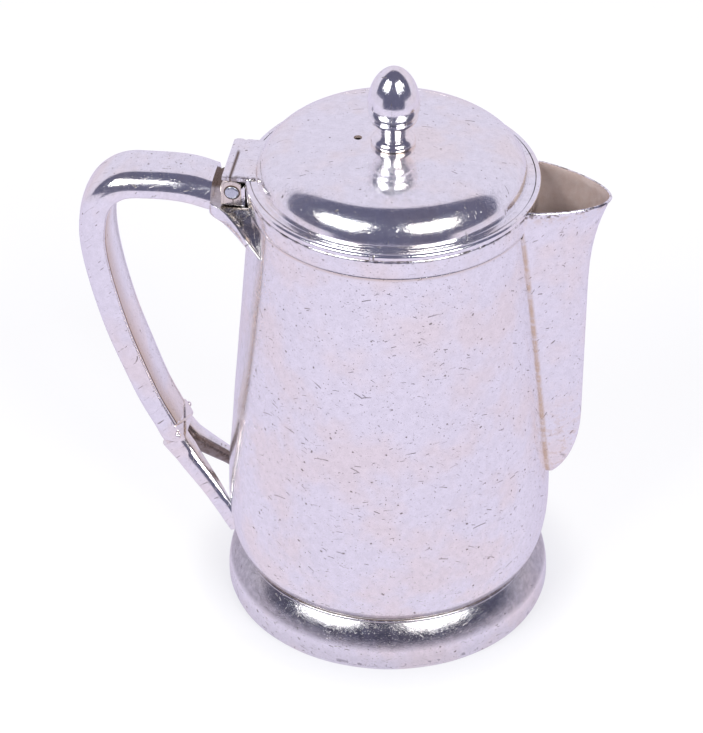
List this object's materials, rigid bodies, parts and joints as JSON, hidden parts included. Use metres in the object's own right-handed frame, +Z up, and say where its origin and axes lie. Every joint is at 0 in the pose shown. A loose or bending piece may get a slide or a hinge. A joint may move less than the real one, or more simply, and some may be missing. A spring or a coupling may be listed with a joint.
{
  "type": "coffee pot",
  "caption": "Tapered silver-plated coffee pot with a ring foot, a V-shaped spout, a forked D-section handle and a hinged domed lid with an acorn finial.",
  "frame": {"origin": "on the table plane, under the middle of the length from the handle's back to the spout's tip and of the foot's width", "axes": "+Z up, +X towards the spout, -X towards the handle, +Y across the pot"},
  "size_m": [0.1541, 0.0972, 0.179],
  "materials": {
    "worn_silver": "worn silver plate, satin with fine scratches, small dark pits and brown tarnish in the corners",
    "bright_silver": "polished silver plate with light wear",
    "pin_metal": "dull grey metal with tarnish"
  },
  "bodies": {
    "pot_body": {"body_shell": "worn_silver", "body_collar": "worn_silver", "base_plate": "worn_silver", "foot_ring": "worn_silver", "foot_bead": "worn_silver", "foot_rim_wire": "worn_silver", "spout_shell": "worn_silver", "handle_shell": "worn_silver", "handle_cover_strip": "worn_silver", "handle_wrap": "worn_silver", "handle_bead_front": "worn_silver", "handle_bead_rear": "worn_silver", "handle_prong_front": "worn_silver", "handle_prong_rear": "worn_silver", "handle_saddle": "worn_silver", "hinge_knuckle_front": "worn_silver", "hinge_knuckle_rear": "worn_silver", "hinge_pin": "pin_metal"},
    "lid": {"lid_dome": "worn_silver", "lid_rim_wire": "worn_silver", "lid_bezel": "worn_silver", "lid_hinge_leaf": "worn_silver", "finial_acorn": "bright_silver", "finial_stem": "bright_silver", "finial_washer": "worn_silver", "finial_nut": "pin_metal"}
  },
  "joints": [
    {"name": "lid_hinge", "type": "hinge", "parent": "pot_body", "child": "lid", "pos_m": [-0.03022, 0, 0.1393], "axis": [0, -1, 0], "range_deg": [0, 95]}
  ]
}
